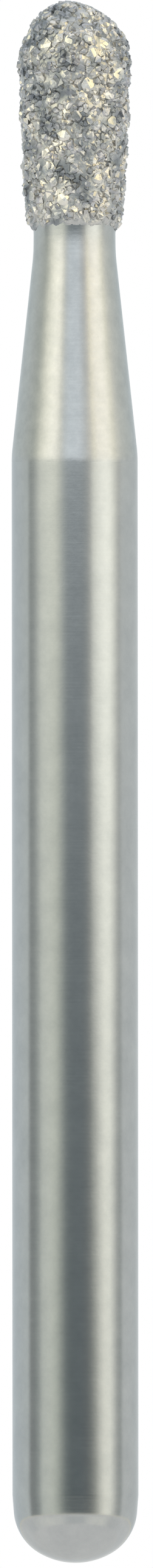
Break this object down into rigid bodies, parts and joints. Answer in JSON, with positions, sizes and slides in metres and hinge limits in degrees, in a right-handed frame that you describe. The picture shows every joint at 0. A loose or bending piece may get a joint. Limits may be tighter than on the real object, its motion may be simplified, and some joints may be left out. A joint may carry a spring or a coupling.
{
  "type": "dental bur",
  "caption": "Pear-shaped diamond dental bur: a rotary grinding tip with a crystal coat on a plain 1.6 mm friction-grip shank with a tapered neck and a rounded end.",
  "frame": {"origin": "apex of the shank's rounded end, on the axis", "axes": "+Z along the axis from the shank's end to the working tip; X and Y are any two directions across it"},
  "size_m": [0.0016, 0.0016, 0.0198],
  "materials": {
    "turned_steel": "ground stainless steel, satin, with fine marks round the axis",
    "nickel_plate": "matt grey nickel deposit, rough and uneven",
    "diamond": "translucent yellowish grey crystals with bright facets"
  },
  "bodies": {
    "root": {"steel_blank": "turned_steel", "nickel_bond": "nickel_plate", "diamond_grit": "diamond"}
  },
  "joints": []
}
